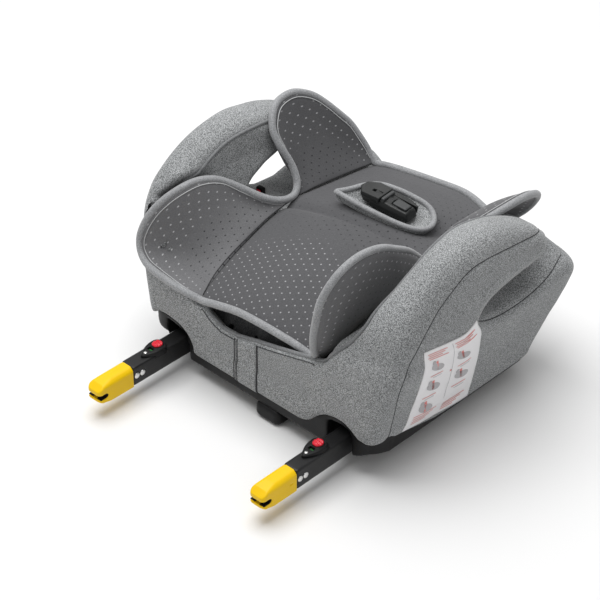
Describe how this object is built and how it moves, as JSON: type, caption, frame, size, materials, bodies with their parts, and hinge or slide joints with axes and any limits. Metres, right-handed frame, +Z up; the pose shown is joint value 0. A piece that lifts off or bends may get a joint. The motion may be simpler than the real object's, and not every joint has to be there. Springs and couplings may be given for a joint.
{
  "type": "booster seat",
  "caption": "Backless child booster seat with padded armrests, lap-belt guides, crotch belt clip and sliding anchor latches at the rear.",
  "frame": {"origin": "on the floor, under the middle of the seat with its anchor latches drawn out: bottom centre of the bounding box", "axes": "+X to the seated child's left, -Y to the front, +Z up"},
  "size_m": [0.444, 0.502, 0.2877],
  "materials": {
    "shell_plastic": "fine moulded grain",
    "black_steel": "satin black",
    "connector_yellow": "satin",
    "release_red": "gloss",
    "bright_steel": "bright",
    "indicator_green": "gloss",
    "foot_rubber": "matt",
    "seat_foam": "moulded foam",
    "melange_fabric": "heathered knit",
    "insert_fabric": "smooth knit with small dots",
    "binding_fabric": "satin binding",
    "label_white": "printed satin label",
    "clip_plastic": "satin"
  },
  "bodies": {
    "seat_base": {"base_shell": "shell_plastic", "seat_deck": "shell_plastic", "bottom_cover": "shell_plastic", "keel": "shell_plastic", "front_feet": "foot_rubber", "bottom_screws": "bright_steel", "guide_rail_left": "shell_plastic", "guide_rail_right": "shell_plastic", "lock_bracket": "shell_plastic", "seat_foam": "seat_foam", "armrest_core_left": "shell_plastic", "armrest_core_right": "shell_plastic", "armrest_cover_left": "melange_fabric", "armrest_cover_right": "melange_fabric", "front_cover": "melange_fabric", "rear_cover": "melange_fabric", "cover_tab": "melange_fabric", "care_label": "label_white", "backrest_socket": "shell_plastic", "belt_guide_left": "shell_plastic", "belt_guide_right": "shell_plastic", "belt_insert_left": "release_red", "belt_insert_right": "release_red", "seat_panel": "insert_fabric", "wing_rear_left": "insert_fabric", "wing_rear_right": "insert_fabric", "wing_front_left": "insert_fabric", "wing_front_right": "insert_fabric", "strap_webbing": "binding_fabric"},
    "isofix_frame": {"latch_tube_left": "black_steel", "latch_tube_right": "black_steel", "cross_bar": "black_steel", "lock_rack": "black_steel", "connector_left": "connector_yellow", "connector_right": "connector_yellow", "button_housing_left": "shell_plastic", "button_housing_right": "shell_plastic", "indicator_left": "indicator_green", "indicator_right": "indicator_green", "latch_rivets": "bright_steel", "hook_pin_left": "bright_steel", "hook_pin_right": "bright_steel"},
    "hook_left": {"latch_hook_left": "bright_steel"},
    "hook_right": {"latch_hook_right": "bright_steel"},
    "button_left": {"release_button_left": "release_red"},
    "button_right": {"release_button_right": "release_red"},
    "adjuster": {"adjuster_grip": "shell_plastic", "adjuster_rod": "black_steel"},
    "pawl": {"lock_pawl": "black_steel"},
    "crotch_pad": {"strap_pad": "melange_fabric", "clip_housing": "clip_plastic", "clip_head": "clip_plastic", "clip_catch": "clip_plastic"},
    "clip_key": {"clip_button": "clip_plastic"}
  },
  "joints": [
    {"name": "latch_slide", "type": "slide", "parent": "seat_base", "child": "isofix_frame", "axis": [0, 1, 0], "range_m": [-0.11, 0]},
    {"name": "hook_left_pivot", "type": "hinge", "parent": "isofix_frame", "child": "hook_left", "pos_m": [0.14, 0.231, 0.041], "axis": [-1, 0, 0], "range_deg": [0, 40]},
    {"name": "hook_right_pivot", "type": "hinge", "parent": "isofix_frame", "child": "hook_right", "pos_m": [-0.14, 0.231, 0.041], "axis": [-1, 0, 0], "range_deg": [0, 40]},
    {"name": "button_left_slide", "type": "slide", "parent": "isofix_frame", "child": "button_left", "axis": [0, 1, 0], "range_m": [0, 0.0082]},
    {"name": "button_right_slide", "type": "slide", "parent": "isofix_frame", "child": "button_right", "axis": [0, 1, 0], "range_m": [0, 0.0082]},
    {"name": "adjuster_pull", "type": "slide", "parent": "seat_base", "child": "adjuster", "axis": [0, -1, 0], "range_m": [0, 0.012], "stiffness_N_per_m": 300},
    {"name": "pawl_lift", "type": "slide", "parent": "seat_base", "child": "pawl", "axis": [0, 0, 1], "range_m": [0, 0.0031]},
    {"name": "pad_fold", "type": "hinge", "parent": "seat_base", "child": "crotch_pad", "pos_m": [-0.052, -0.156, 0.1805], "axis": [0.4478, -0.8942, 0], "range_deg": [0, 80]},
    {"name": "clip_press", "type": "slide", "parent": "crotch_pad", "child": "clip_key", "axis": [0.109, 0.0546, -0.9925], "range_m": [0, 0.003], "stiffness_N_per_m": 400}
  ],
  "couplings": [
    {"joint": "button_left_slide", "follows": "hook_left_pivot", "m_per_rad": 0.01146},
    {"joint": "button_right_slide", "follows": "hook_right_pivot", "m_per_rad": 0.01146},
    {"joint": "pawl_lift", "follows": "adjuster_pull", "ratio": 0.25}
  ]
}
